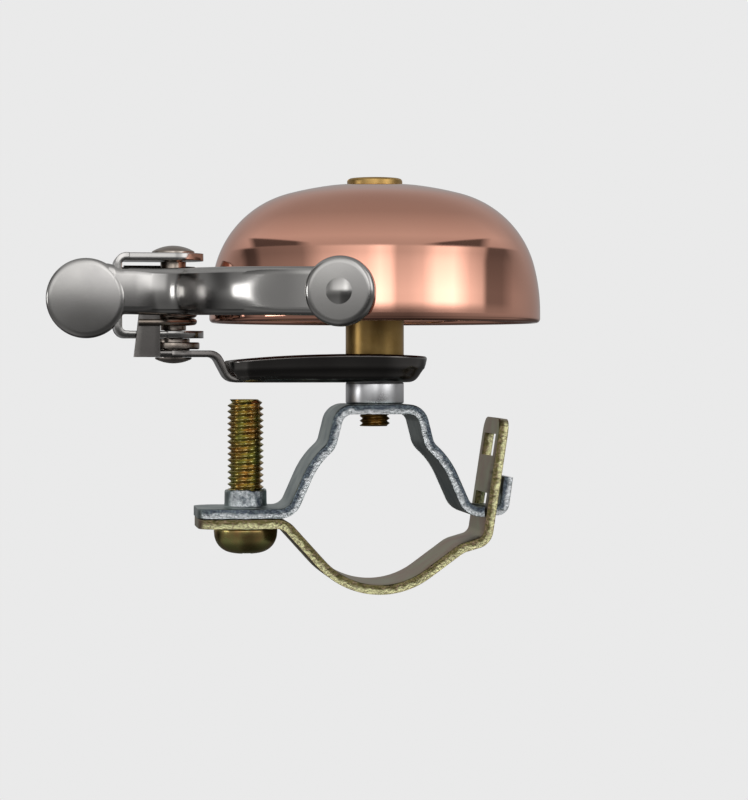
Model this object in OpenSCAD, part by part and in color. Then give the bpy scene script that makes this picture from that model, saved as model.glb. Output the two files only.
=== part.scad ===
// Bicycle bell with a thumb lever and a hinged two-strap handlebar clamp.
// The origin is the handlebar axis in the closed clamp: bar along Y, up is Z.

/* [Bell dome] */
// largest outside radius of the dome
dome_r = 27.5; // [27:0.1:28]
// height of the rim above the handlebar axis
rim_z = 30.63; // [30.4:0.01:30.9]
// sheet thickness of the dome
dome_t = 1.4; // [1.2:0.1:1.6]

/* [Clamp] */
// bore radius of the closed clamp
bar_r = 12.4; // [12.3:0.01:12.45]
// strap width along the handlebar
strap_w = 14; // [13:0.5:15]
// strap sheet thickness
strap_t = 1.6; // [1.5:0.05:1.65]
// clamp bolt thread diameter
bolt_d = 6; // [5.8:0.1:6]
// clamp bolt thread pitch
bolt_pitch = 1; // [0.9:0.05:1.1]

/* [Lever] */
// lever sheet thickness
lever_t = 1.2; // [1:0.05:1.2]
// striking disc radius
disc_r = 5.45; // [5:0.05:5.8]
// thumb pad radius
pad_r = 6.5; // [6:0.1:7]
// height of the lever arm
arm_h = 7.6; // [7:0.1:8]

/* [Hidden] */
$fn = 48;
e = 0.01;
screw_r = 2.5;
screw_fit = 0.05;
pin_x = -33.5;
pin_r = 1.5;
bolt_x = -21.6;
plate_top = 17.2;
tray_z = 20.8;
tray_t = 1.1;
sleeve_r = 4.85;
dome_flat_z = 53.3;
dome_apex = 53.87;
cap_z = 54.65;
ear_top = 41.95;
ear_bot = 28.07;
ear_r = 5;
swing_x = 19.5;
swing_z = -0.55;

// points [x, z, heading] of a sheet's centreline; a step is [length] or [radius, angle]
function after(p, s) = len(s) == 1 ?
  [p[0] + s[0] * cos(p[2]), p[1] + s[0] * sin(p[2]), p[2]] :
  let (r = s[0] * sign(s[1]), h = p[2] + s[1])
  [p[0] + r * (sin(h) - sin(p[2])), p[1] - r * (cos(h) - cos(p[2])), h];

function bits(s, fine) = len(s) == 1 ? 1 : ceil(abs(s[1]) / fine);

function trace(steps, p, fine = 9, i = 0) = i == len(steps) ? [p] :
  concat([for (k = [0 : bits(steps[i], fine) - 1])
    k == 0 ? p : after(p, [steps[i][0], steps[i][1] * k / bits(steps[i], fine)])],
    trace(steps, after(p, steps[i]), fine, i + 1));

// the left half of a path, traced as if it ran right, then the right half
function joined(left, right) = concat(
  [for (i = [len(left) - 1 : -1 : 1]) [-left[i][0], left[i][1], -left[i][2]]], right);

// outline of a sheet of thickness t along those points
module sheet(pts, t) {
  function edge(p, d) = [p[0] - d * sin(p[2]), p[1] + d * cos(p[2])];
  polygon(concat([for (p = pts) edge(p, t / 2)],
    [for (i = [len(pts) - 1 : -1 : 0]) edge(pts[i], -t / 2)]));
}

// points of an arc about c, from angle a0 to a1 in n parts
function arc(c, r, a0, a1, n = 8) = [for (k = [0 : n])
  let (a = a0 + (a1 - a0) * k / n) c + r * [cos(a), sin(a)]];

// wedge about the origin that carries the exact bar radius
module bar_pad(a0, a1) {
  difference() {
    polygon(concat(arc([0, 0], bar_r - 0.2, a0, a1, 16), arc([0, 0], bar_r + 0.8, a1, a0, 16)));
    circle(bar_r, $fn = 90);
  }
}

// stands an XZ profile up and gives it a width along Y, centred
module across(w) {
  rotate([90, 0, 0]) linear_extrude(w, center = true) children();
}

module slab(x0, x1, y0, y1, z0, z1) {
  translate([x0, y0, z0]) cube([x1 - x0, y1 - y0, z1 - z0]);
}

module rod(r, z0, z1) {
  translate([0, 0, z0]) cylinder(r = r, h = z1 - z0);
}

// low domed disc, flat side at z0, height h, base radius r
module button(r, z0, h) {
  big = (r * r + h * h) / (2 * h);
  intersection() {
    translate([0, 0, z0 + h - big]) sphere(big);
    rod(r, z0, z0 + 2 * h);
  }
}

// screw thread drawn as rings of the given pitch between two heights
module thread_rings(r, pitch, z0, z1) {
  depth = 0.55 * pitch;
  rod(r - depth, z0, z1);
  for (z = [z0 + pitch / 2 : pitch : z1 - pitch / 2 + e]) {
    translate([0, 0, z - pitch / 2]) cylinder(r1 = r - depth, r2 = r, h = pitch / 2);
    translate([0, 0, z]) cylinder(r1 = r, r2 = r - depth, h = pitch / 2);
  }
}

// half section of the dome's surface, moved inwards by d
function dome_curve(d) =
  let (r1 = 57.19, r2 = 16.7, a1 = 14.81, a2 = 75.47, z1 = dome_apex - r1,
    x2 = (r1 - r2) * sin(a1), z2 = z1 + (r1 - r2) * cos(a1),
    r3 = (dome_r - x2 - r2 * sin(a2)) / (1 - sin(a2)), z3 = z2 + (r2 - r3) * cos(a2),
    flat_r = sqrt(pow(r1 - d, 2) - pow(dome_flat_z - d - z1, 2)), af = asin(flat_r / (r1 - d)))
  concat([[flat_r, dome_flat_z - d]], arc([0, z1], r1 - d, 90 - af, 90 - a1, 4),
    arc([x2, z2], r2 - d, 88 - a1, 90 - a2, 22), arc([dome_r - r3, z3], r3 - d, 88 - a2, 0, 6));

module bell_dome() {
  bore = screw_r + screw_fit;
  lip = dome_t / 2;
  inner = dome_curve(dome_t);
  color([0.76, 0.5, 0.41])
  rotate_extrude($fn = 120) polygon(concat(
    [[bore, dome_flat_z]], dome_curve(0),
    arc([dome_r - lip, rim_z + lip], lip, 0, -180),
    [for (i = [len(inner) - 1 : -1 : 0]) inner[i]],
    [[bore, dome_flat_z - dome_t]]));
}

module centre_screw() {
  corner = 0.6;
  color([0.72, 0.55, 0.25])
  difference() {
    union() {
      rotate_extrude($fn = 90) {
        translate([0, dome_flat_z]) square([4.6, cap_z - corner - dome_flat_z]);
        translate([0, dome_flat_z]) square([4.6 - corner, cap_z - dome_flat_z]);
        translate([4.6 - corner, cap_z - corner]) circle(corner, $fn = 32);
      }
      rod(screw_r, 15.6, dome_flat_z + e);
      thread_rings(screw_r, 0.8, 14.02, 15.62);
      translate([0, 0, 13.5]) cylinder(r1 = 1.7, r2 = screw_r - 0.44, h = 0.53);
    }
    slab(-6, 6, -0.6, 0.6, cap_z - 0.7, cap_z + 1);
  }
}

module post_sleeve() {
  color([0.68, 0.5, 0.22])
  difference() {
    rod(sleeve_r, tray_z + tray_t, dome_flat_z - 1.4);
    rod(screw_r + screw_fit, 15, 60);
  }
}

module steel_spacer() {
  color([0.78, 0.78, 0.8])
  difference() {
    rod(sleeve_r, plate_top + 0.05, tray_z);
    rod(screw_r + screw_fit, 15, 22);
  }
}

// tray wall section, measured from the bell axis
module tray_wall() {
  polygon(concat([[4.5, 0]], arc([5.6, 2], 2, -90, -20, 6), [[8.05, 2.3], [8.35, 2.5], [8.75, 4.4],
    [7.64, 4.4], [7.3, 2.9]], arc([5.6, 2], 0.9, -14, -90, 5), [[4.5, 1.1]]));
}

module tray_shell() {
  x_left = -23.1;
  r_web = 6.7;
  hull_r = 8.75;
  rotate([0, 0, -90]) rotate_extrude(angle = 180, $fn = 90) tray_wall();
  for (m = [0, 1]) mirror([0, m, 0]) rotate([90, 0, -90]) linear_extrude(-x_left)
    tray_wall();
  rod(r_web, 0, tray_t);
  slab(x_left, 0, -r_web, r_web, 0, tray_t);
  // end wall, open in the middle where the tongue leaves
  for (s = [-1, 1]) slab(x_left - 1.1, x_left + e, min(s * 4.6, s * 8.2), max(s * 4.6, s * 8.2), 1, 4.3);
  for (s = [-1, 1]) slab(x_left - 1.1, x_left + 0.4, min(s * 4.6, s * 7), max(s * 4.6, s * 7), 0, 1.1);
}

module striker_bracket() {
  arch = 180;
  s_angle = 62;
  s_r = 1.8;
  s_run = 2.55;
  web_mid = tray_z + tray_t / 2;
  eye_mid = web_mid + 2 * s_r * (1 - cos(s_angle)) + s_run * sin(s_angle);
  eye_x = -23.4 - 2 * s_r * sin(s_angle) - s_run * cos(s_angle);
  color([0.42, 0.42, 0.42])
  difference() {
    union() {
      intersection() {
        translate([0, 0, tray_z]) tray_shell();
        translate([-7.5, 0, 25.2 - arch]) rotate([90, 0, 0])
          cylinder(r = arch, h = 40, center = true, $fn = 90);
      }
      across(8) sheet(trace([[s_r, -s_angle], [s_run], [s_r, s_angle], [eye_x - pin_x - 2.4]],
        [-23.4, web_mid, 180]), tray_t);
      slab(-23.4, -20, -4, 4, tray_z, tray_z + tray_t);
      translate([pin_x, 0, eye_mid - tray_t / 2]) cylinder(r = 4.4, h = tray_t);
      slab(-39.8, pin_x, -4.4, -2, eye_mid - tray_t / 2, eye_mid + tray_t / 2);
      translate([0, -4.25, 0]) rotate([90, 0, 0]) linear_extrude(tray_t, center = true)
        polygon([[-40.2, eye_mid - tray_t / 2], [-35.9, eye_mid - tray_t / 2], [-35.9, 32.6],
          [-39.3, 32.6]]);
    }
    rod(screw_r + screw_fit, 15, 30);
    translate([pin_x, 0, 20]) cylinder(r = pin_r + 0.02, h = 10);
  }
}

// strap outline in plan, with rounded corners at one or both ends
module strap_plan(x0, x1, left_r, right_r) {
  w = strap_w / 2;
  polygon(concat(arc([x0 + left_r, w - left_r], left_r, 180, 90),
    arc([x1 - right_r, w - right_r], right_r, 90, 0),
    arc([x1 - right_r, right_r - w], right_r, 0, -90), arc([x0 + left_r, left_r - w], left_r, -90, -180)));
}

module upper_strap() {
  t = strap_t;
  mid = bar_r + 0.02 + t / 2;
  a_top = 48;
  a_low = 24;
  steep = 76;
  shoulder_r = 2.6;
  neck_r = 3;
  foot_r = 3;
  z_top = plate_top - t / 2;
  z_fl = -0.55;
  // where the neck's bend starts, so that it meets the bar arc
  neck_x = mid * cos(a_top) - neck_r * (sin(steep) - sin(90 - a_top));
  neck_z = mid * sin(a_top) + neck_r * (cos(90 - a_top) - cos(steep));
  neck_run = (z_top - shoulder_r * (1 - cos(steep)) - neck_z) / sin(steep);
  half_top = neck_x - neck_run * cos(steep) - shoulder_r * sin(steep);
  leg = 90 - a_low;
  leg_run = (mid * sin(a_low) - z_fl - foot_r * (1 - cos(leg))) / sin(leg);
  foot_x = mid * cos(a_low) + leg_run * cos(leg) + foot_r * sin(leg);
  half = [[half_top], [shoulder_r, -steep], [neck_run], [neck_r, steep + a_top - 90],
    [mid, a_low - a_top], [leg_run], [foot_r, leg]];
  start = [0, z_top, 0];
  path = joined(trace(concat(half, [[30 - foot_x]]), start, 4),
    trace(concat(half, [[20 - foot_x], [1.3, 82], [4.5]]), start, 4));
  color([0.68, 0.74, 0.8])
  difference() {
    union() {
      intersection() {
        across(strap_w) {
          sheet(path, t);
          bar_pad(a_low + 0.3, a_top - 0.3);
          bar_pad(180.3 - a_top, 180 - a_low - 0.3);
        }
        translate([0, 0, -10]) linear_extrude(40) strap_plan(-30, 26, 3, 0.5);
      }
      translate([bolt_x, 0, 0]) rod(3.5, z_fl, 3.1);
    }
    for (m = [0, 1]) mirror([0, m, 0]) slab(16.7, 30, 4, 9, -5, 10);
    rod(screw_r + screw_fit, 10, 20);
    translate([bolt_x, 0, 0]) rod(bolt_d / 2 + 0.06, -5, 6);
  }
}

module lower_strap() {
  t = strap_t;
  mid = bar_r + 0.02 + t / 2;
  half = 36;
  z_fl = -2.25;
  left_half = 48;
  foot_r = 3;
  left_run = (z_fl + mid * cos(left_half) - foot_r * (1 - cos(left_half))) / sin(left_half);
  left_x = (mid + foot_r) * sin(left_half) + left_run * cos(left_half);
  start = [0, -mid, 0];
  path = joined(
    trace([[mid, left_half], [left_run], [foot_r, -left_half], [29.8 - left_x]], start, 4),
    trace([[mid, half], [6.35], [4, -20], [2.2], [2.4, 65.4], [18.8]], start, 4));
  color([0.72, 0.7, 0.4])
  difference() {
    intersection() {
      across(strap_w) {
        sheet(path, t);
        bar_pad(-90 - left_half + 0.3, -90 + half - 0.3);
      }
      translate([0, 0, -20]) linear_extrude(50) strap_plan(-29.8, 26, 3, 0.5);
      // rounded top corners of the upright
      translate([-40, 0, 0]) rotate([90, 0, 90]) linear_extrude(80)
        polygon(concat([[-8, -20], [8, -20], [8, 10]], arc([4.5, 12.9], 2.5, 0, 90),
          arc([-4.5, 12.9], 2.5, 90, 180), [[-8, 10]]));
    }
    // tongue slot and the spare one for thinner bars
    slab(15, 24, -4.5, 4.5, -1.8, 2.4);
    slab(15, 24, -4.5, 4.5, 8.2, 12.3);
    translate([bolt_x - 0.2, 0, -5]) cylinder(r = 3.6, h = 5);
  }
}

module clamp_bolt() {
  head_top = -3.15;
  rim = 0.35;
  head_h = 4.4;
  head_r = 5.25;
  color([0.5, 0.4, 0.22])
  translate([bolt_x, 0, 0])
  difference() {
    union() {
      rod(bolt_d / 2 - 0.2, head_top - e, 5);
      thread_rings(bolt_d / 2, bolt_pitch, 4, 17);
      translate([0, 0, 17 - e]) cylinder(r1 = 2.45, r2 = 2, h = 1);
      rod(head_r, head_top - 1.7, head_top - rim);
      translate([0, 0, head_top - rim]) cylinder(r1 = head_r, r2 = head_r - rim, h = rim);
      mirror([0, 0, 1]) button(head_r, -head_top + 1.69, head_h - 1.7);
    }
    for (a = [0, 90]) rotate(a) slab(-2.4, 2.4, -0.55, 0.55, head_top - head_h - 1, head_top - 2.2);
  }
}

module lever() {
  t = lever_t;
  web_x = -43.3;
  corner = 1.3;
  mid_z = 35.4;
  a_disc = 252.4;
  disc_p = [-10, -31.45, 35.05];
  ear_mid = ear_top - t / 2;
  foot_mid = ear_bot + t / 2;
  color([0.62, 0.62, 0.6])
  difference() {
    union() {
      // ears and web bent from one sheet
      intersection() {
        translate([0, -0.6, 0]) across(11.2) sheet(trace([[-28 - web_x - t / 2 - corner], [corner, 90],
          [ear_mid - foot_mid - 2 * corner], [corner, 90], [-28 - web_x - t / 2 - corner]],
          [-28, ear_mid, 180]), t);
        union() {
          translate([pin_x, 0, 20]) cylinder(r = ear_r, h = 30);
          slab(-44, pin_x, -5, 5, 20, 50);
          slab(-44, -40.9, -6.2, 0, 20, 50);
        }
      }
      // arm in plan, from the web to the disc
      translate([0, 0, mid_z - arm_h / 2]) linear_extrude(arm_h)
        sheet(trace([[5.9], [6, -67], [3.93], [33, 44]], [web_x, -5.6, 0]), t);
      slab(web_x, web_x + 2.6, -6.2, -5, foot_mid + 1, ear_mid - 1);
      // thumb pad and its neck
      translate([-43.5, -5.6, 34.6]) rotate([0, 0, -8]) {
        slab(-3, 0.6, -0.6, 0.6, -5.6, 5.6);
        translate([-4.55, 0, 0]) rotate([90, 0, 0]) cylinder(r = pad_r, h = t, center = true);
      }
      // striking disc
      translate(disc_p) rotate([0, 0, a_disc + 90]) rotate([90, 0, 0])
        cylinder(r = disc_r, h = t + 0.1, center = true);
    }
    // room for the stop tab through the swing
    slab(-40.9, pin_x - 1.4, -6, -2.6, ear_bot - 1, foot_mid + 1.2);
    translate([pin_x, 0, 20]) cylinder(r = pin_r + 0.05, h = 30);
    translate(disc_p) rotate([0, 0, a_disc + 90]) rotate([90, 0, 0])
      cylinder(r = 1.43, h = 6, center = true);
  }
}

module hammer() {
  a_disc = 252.4;
  half = lever_t / 2 + 0.05;
  color([0.6, 0.6, 0.6])
  translate([-10, -31.45, 35.05]) rotate([0, 0, a_disc + 90]) rotate([-90, 0, 0])
  difference() {
    union() {
      rod(1.42, -half - e, half + e);
      rod(3, half, half + 0.5);
      button(3, half + 0.49, 1.1);
      mirror([0, 0, 1]) button(2.55, half, 0.75);
    }
    translate([0, 0, -half - 1]) cylinder(r = 0.5, h = 0.5);
  }
}

module pivot_pin() {
  color([0.5, 0.45, 0.4])
  translate([pin_x, 0, 0]) {
    rod(pin_r, 24.8, 42.05);
    button(3.5, 42, 1.3);
    mirror([0, 0, 1]) button(3, -24.95, 0.95);
  }
}

module pivot_bush() {
  color([0.48, 0.42, 0.36])
  translate([pin_x, 0, 0]) difference() {
    rod(2.1, ear_bot + lever_t + 0.1, ear_top - lever_t - 0.1);
    rod(pin_r, 20, 50);
  }
}

module pivot_washer() {
  color([0.45, 0.38, 0.32])
  translate([pin_x, 0, 0]) difference() {
    union() {
      rod(4.3, 26.25, 27.4);
      rod(2.7, 26.07, 28);
    }
    rod(pin_r, 20, 50);
  }
}

module return_spring() {
  wire = 0.55;
  coil_r = 3.35;
  steps = 24;
  sides = 10;
  start = -60;
  sweep = 7 * 360 + 150;
  count = sweep * steps / 360;
  z0 = 30.6;
  z1 = 39.6;
  reach = 8;
  // centreline: a leg in front of the stop tab, the helix, a leg to the web
  function centre(i) = i == 0 ? [-6, -5.5, z0] :
    i == 1 ? [-2, -5.35, z0] :
    i == count + 3 ? [-reach, coil_r, z1] :
    let (a = start + (i - 2) * 360 / steps)
    [coil_r * cos(a), coil_r * sin(a), z0 + (z1 - z0) * (i - 2) / count];
  function out(i) = let (a = i == 0 ? -90 : i == 1 ? -75 :
    start + min(i - 2, count) * 360 / steps) [cos(a), sin(a), 0];
  points = [for (i = [0 : count + 3]) for (k = [0 : sides - 1])
    centre(i) + wire * (cos(k * 360 / sides) * out(i) + sin(k * 360 / sides) * [0, 0, 1])];
  last = (count + 3) * sides;
  sidefaces = [for (i = [0 : count + 2]) for (k = [0 : sides - 1])
    [i * sides + k, i * sides + (k + 1) % sides, (i + 1) * sides + (k + 1) % sides, (i + 1) * sides + k]];
  color([0.5, 0.45, 0.4])
  translate([pin_x, 0, 0]) polyhedron(points, concat(sidefaces,
    [[for (k = [sides - 1 : -1 : 0]) k]], [[for (k = [0 : sides - 1]) last + k]]));
}

bell_dome();
centre_screw();
post_sleeve();
striker_bracket();
steel_spacer();
upper_strap();
lower_strap();
clamp_bolt();
lever();
hammer();
pivot_pin();
pivot_bush();
return_spring();
pivot_washer();
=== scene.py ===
import bmesh
import bpy
import numpy as np
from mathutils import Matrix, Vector


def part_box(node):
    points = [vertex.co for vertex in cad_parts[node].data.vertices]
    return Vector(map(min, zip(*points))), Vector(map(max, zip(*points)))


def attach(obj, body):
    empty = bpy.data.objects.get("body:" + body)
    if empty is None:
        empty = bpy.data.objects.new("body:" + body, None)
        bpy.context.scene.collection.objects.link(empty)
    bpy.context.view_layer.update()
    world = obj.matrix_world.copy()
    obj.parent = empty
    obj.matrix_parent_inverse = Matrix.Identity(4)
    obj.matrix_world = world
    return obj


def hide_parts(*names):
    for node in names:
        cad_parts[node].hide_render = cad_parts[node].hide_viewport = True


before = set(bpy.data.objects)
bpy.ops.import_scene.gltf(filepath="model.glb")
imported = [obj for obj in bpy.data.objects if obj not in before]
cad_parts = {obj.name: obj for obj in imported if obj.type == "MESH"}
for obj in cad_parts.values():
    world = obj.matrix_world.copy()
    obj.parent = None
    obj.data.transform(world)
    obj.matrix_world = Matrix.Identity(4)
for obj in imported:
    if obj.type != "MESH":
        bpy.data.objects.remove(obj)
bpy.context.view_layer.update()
mm = 0.001
print("frame loaded")


# Surfaces shared by the pieces, as grids of points.

def nodeBox(node):
    low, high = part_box(node)
    return np.array(low) / mm, np.array(high) / mm


def middleX(node):
    low, high = nodeBox(node)
    return (low[0] + high[0]) / 2


def sine(a):
    return np.sin(np.radians(a))


def cosine(a):
    return np.cos(np.radians(a))


# runs smoothly from 0 at low to 1 at high
def smooth(value, low, high):
    u = np.clip((value - low) / (high - low), 0, 1)
    return u * u * (3 - 2 * u)


# a grid of points, rows x columns x 3, as quads; closed columns wrap round, and ends can be capped
def gridFaces(rows, columns, closed, capped, first=0):
    r, c = np.meshgrid(np.arange(rows - 1), np.arange(columns if closed else columns - 1), indexing="ij")
    after = (c + 1) % columns
    here, below = r * columns, (r + 1) * columns
    quads = np.stack([here + c, here + after, below + after, below + c], -1)
    faces = [list(q) for q in (quads.reshape(-1, 4) + first).tolist()]
    if capped:
        faces.append([first + k for k in range(columns)][::-1])
        faces.append([first + (rows - 1) * columns + k for k in range(columns)])
    return faces


# the grids as one mesh, which also keeps how deep in its sheet each point lies; a sheet's grid is known
# by the number of points in its section
def pieceFromGrids(name, grids, material, node, body, sharpAngle=35):
    points, faces, depths = [], [], []
    count = 0
    for grid, closed, capped in grids:
        rows, columns = grid.shape[:2]
        points.append(grid.reshape(-1, 3))
        isSheet = columns == len(sheetDepth)
        depths.append(np.tile(sheetDepth if isSheet else np.zeros(columns), rows))
        faces += gridFaces(rows, columns, closed, capped, count)
        count += rows * columns
    mesh = bpy.data.meshes.new(name)
    mesh.from_pydata((np.vstack(points) * mm).tolist(), [], faces)
    depth = mesh.attributes.new("sheetDepth", "FLOAT", "POINT")
    depth.data.foreach_set("value", np.concatenate(depths).astype(np.float32))
    mesh.materials.append(material)
    piece = bpy.data.objects.new(name, mesh)
    bpy.context.scene.collection.objects.link(piece)
    tidyMesh(mesh, sharpAngle)
    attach(piece, body)
    if node:
        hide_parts(node)
    return piece


def tidyMesh(mesh, sharpAngle):
    mergeDistance = 2e-7
    work = bmesh.new()
    work.from_mesh(mesh)
    bmesh.ops.remove_doubles(work, verts=work.verts, dist=mergeDistance)
    bmesh.ops.recalc_face_normals(work, faces=work.faces)
    work.to_mesh(mesh)
    work.free()
    mesh.shade_smooth()
    mesh.set_sharp_from_angle(angle=np.radians(sharpAngle))


# points of an arc about (cx, cz), angles in degrees
def arc(cx, cz, radius, start, end, count):
    a = np.radians(np.linspace(start, end, count))
    return np.stack([cx + radius * np.cos(a), cz + radius * np.sin(a)], -1)


def outline(*parts):
    return np.vstack([np.atleast_2d(np.array(part, float)) for part in parts])


# a profile of (radius, height) turned about a vertical line through (x, y)
def turned(profile, x, y, around=128):
    a = np.linspace(0, 2 * np.pi, around, endpoint=False)
    r, z = profile[:, 0, None], profile[:, 1, None]
    return np.stack([x + r * np.cos(a), y + r * np.sin(a), np.broadcast_to(z, (len(profile), around))], -1)


# the same, about a horizontal line through centre, height measured along the outward direction
def turnedAlong(profile, centre, heading, around=96):
    out = np.array([cosine(heading), sine(heading), 0])
    side = np.array([-out[1], out[0], 0])
    up = np.array([0, 0, 1.0])
    a = np.linspace(0, 2 * np.pi, around, endpoint=False)
    r, h = profile[:, 0, None, None], profile[:, 1, None, None]
    return np.array(centre) + r * (np.cos(a)[:, None] * side + np.sin(a)[:, None] * up) + h * out


# centreline of a bent sheet: (x, z, heading) after steps of (length,) or (radius, angle)
def bentPath(start, steps, fine=3.0, longest=0.8):
    x, z, h = start
    rows = [(x, z, h)]
    for step in steps:
        if len(step) == 1:
            n = max(2, int(np.ceil(abs(step[0]) / longest)))
            for k in range(n):
                x, z = x + step[0] / n * cosine(h), z + step[0] / n * sine(h)
                rows.append((x, z, h))
        else:
            n = max(3, int(np.ceil(abs(step[1]) / fine)))
            r = step[0] * np.sign(step[1])
            for k in range(n):
                g = h + step[1] / n
                x += r * (sine(g) - sine(h))
                z -= r * (cosine(g) - cosine(h))
                h = g
                rows.append((x, z, h))
    return np.array(rows)


# two paths that leave one point, the first mirrored, as one path
def joinedPath(left, right):
    flipped = left[:0:-1] * np.array([-1, 1, -1])
    return np.vstack([flipped, right])


# closed section of a sheet t thick: (share across from -1 to 1, offset across in mm, offset through)
def sheetSection(t, rollOver, burr):
    q = np.radians(np.linspace(0, 90, 5))
    half = t / 2
    a = np.stack([np.ones(5), -burr * (1 - np.sin(q)), -half + burr * (1 - np.cos(q))], -1)[::-1]
    b = np.stack([np.ones(5), -rollOver * (1 - np.cos(q)), half - rollOver * (1 - np.sin(q))], -1)
    mid = np.array([[1, 0, (burr - rollOver) / 2]])
    right = np.vstack([a, mid, b])
    flatTop = np.array([[0.5, 0, half], [0, 0, half], [-0.5, 0, half]])
    left = right[::-1] * np.array([-1, -1, 1])
    flatLow = np.array([[-0.5, 0, -half], [0, 0, -half], [0.5, 0, -half]])
    return np.vstack([right, flatTop, left, flatLow])


# depth through the sheet, from -1 to 1, at each point of its section
sheetDepth = sheetSection(2.0, 0.3, 0.08)[:, 2]


# sheet along a path in XZ, between yLow and yHigh at each path point, wavy at its cut edges
def sheetGrid(path, yLow, yHigh, t, rollOver=0.3, burr=0.08, waver=0.0, seed=0):
    section = sheetSection(t, rollOver, burr)
    yLow = np.broadcast_to(np.asarray(yLow, float), len(path))
    yHigh = np.broadcast_to(np.asarray(yHigh, float), len(path))
    share, across, through = section[:, 0], section[:, 1], section[:, 2]
    middle, half = (yLow + yHigh) / 2, (yHigh - yLow) / 2
    h = np.radians(path[:, 2])[:, None]
    y = middle[:, None] + half[:, None] * share + across
    if waver:
        noise = np.random.default_rng(seed).normal(0, waver, (len(path), len(section)))
        y = y + noise * (np.abs(share) > 0.9)
    x = path[:, 0, None] - np.sin(h) * through
    z = path[:, 1, None] + np.cos(h) * through
    return np.stack([x, y, z], -1)


# round wire along points, its section turned with the path
def wireGrid(points, radius, around=14):
    d = np.gradient(points, axis=0)
    d /= np.linalg.norm(d, axis=1, keepdims=True)
    up = np.array([0, 0, 1.0])
    side = np.cross(d, up)
    side /= np.linalg.norm(side, axis=1, keepdims=True)
    top = np.cross(side, d)
    a = np.linspace(0, 2 * np.pi, around, endpoint=False)
    return points[:, None] + radius * (np.cos(a)[:, None] * side[:, None] + np.sin(a)[:, None] * top[:, None])


# screw thread, r = crest - depth * |2 frac(z / pitch - turn) - 1| shaped, narrowed over the last fade length
# at its high end
def threadGrid(x, y, crest, pitch, depth, zLow, zHigh, fade, around=72, perPitch=14):
    z = np.linspace(zLow, zHigh, int((zHigh - zLow) / pitch * perPitch))
    a = np.linspace(0, 2 * np.pi, around, endpoint=False)
    phase = (z[:, None] / pitch - a / (2 * np.pi)) % 1
    wave = np.clip(1.25 * np.abs(2 * phase - 1) - 0.08, 0, 1)
    taper = np.clip((zHigh - z) / fade, 0, 1)[:, None]
    r = (crest - depth * wave) * (1 - 0.14 * (1 - taper))
    return np.stack([x + r * np.cos(a), y + r * np.sin(a), np.broadcast_to(z[:, None], r.shape)], -1)


# Materials.

def addSockets(group, direction, *labels):
    for label in labels:
        group.interface.new_socket(label, in_out=direction, socket_type="NodeSocketFloat")


def ranged(tree, value, low, high, toLow=0, toHigh=1):
    node = tree.nodes.new("ShaderNodeMapRange")
    node.inputs["From Min"].default_value = low
    node.inputs["From Max"].default_value = high
    node.inputs["To Min"].default_value = toLow
    node.inputs["To Max"].default_value = toHigh
    tree.links.new(value, node.inputs["Value"])
    return node.outputs["Result"]


def mathStep(tree, operation, first, second=None):
    node = tree.nodes.new("ShaderNodeMath")
    node.operation = operation
    tree.links.new(first, node.inputs[0])
    if second is not None:
        tree.links.new(second, node.inputs[1])
    return node.outputs[0]


def noiseStep(tree, coords, scale, detail, rough=0.5):
    node = tree.nodes.new("ShaderNodeTexNoise")
    node.inputs["Scale"].default_value = scale
    node.inputs["Detail"].default_value = detail
    node.inputs["Roughness"].default_value = rough
    tree.links.new(coords.outputs["Object"], node.inputs["Vector"])
    return node.outputs["Fac"]


# worn edges, which are how sharp the surface is times a fine noise, and the coarse and fine noises
def wearGroup():
    group = bpy.data.node_groups.new("wornPlate", "ShaderNodeTree")
    addSockets(group, "INPUT", "Scale", "Edge")
    addSockets(group, "OUTPUT", "Wear", "Cloud", "Speck")
    into, out = group.nodes.new("NodeGroupInput"), group.nodes.new("NodeGroupOutput")
    coords, geometry = group.nodes.new("ShaderNodeTexCoord"), group.nodes.new("ShaderNodeNewGeometry")
    cloud, speck = noiseStep(group, coords, 150, 4), noiseStep(group, coords, 2600, 3)
    group.links.new(into.outputs["Scale"], cloud.node.inputs["Scale"])
    worn = mathStep(group, "MULTIPLY", ranged(group, geometry.outputs["Pointiness"], 0.52, 0.64), speck)
    worn = mathStep(group, "MULTIPLY", worn, into.outputs["Edge"])
    for label, value in (("Wear", worn), ("Cloud", cloud), ("Speck", speck)):
        group.links.new(value, out.inputs[label])
    return group


# faces cut across the sheet, known by their normal, the torn half of them, and the tear's roughness
def shearGroup():
    group = bpy.data.node_groups.new("shearedEdge", "ShaderNodeTree")
    addSockets(group, "OUTPUT", "Cut", "Torn", "Streak")
    out, normal = group.nodes.new("NodeGroupOutput"), group.nodes.new("ShaderNodeSeparateXYZ")
    coords, geometry = group.nodes.new("ShaderNodeTexCoord"), group.nodes.new("ShaderNodeNewGeometry")
    group.links.new(geometry.outputs["True Normal"], normal.inputs[0])
    sideways = ranged(group, mathStep(group, "ABSOLUTE", normal.outputs["Y"]), 0.45, 0.8)
    streak, ragged = noiseStep(group, coords, 2400, 5, 0.62), noiseStep(group, coords, 700, 5, 0.62)
    depth = group.nodes.new("ShaderNodeAttribute")
    depth.attribute_name = "sheetDepth"
    # the tear starts along a ragged line: depth + 2.2 * noise
    torn = mathStep(group, "MULTIPLY_ADD", ragged)
    torn.node.inputs[1].default_value = 2.2
    group.links.new(depth.outputs["Fac"], torn.node.inputs[2])
    for label, value in (("Cut", sideways), ("Torn", ranged(group, torn, 0.75, 1.35)), ("Streak", streak)):
        group.links.new(value, out.inputs[label])
    return group


wornPlate = wearGroup()
shearedEdge = shearGroup()


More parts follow.
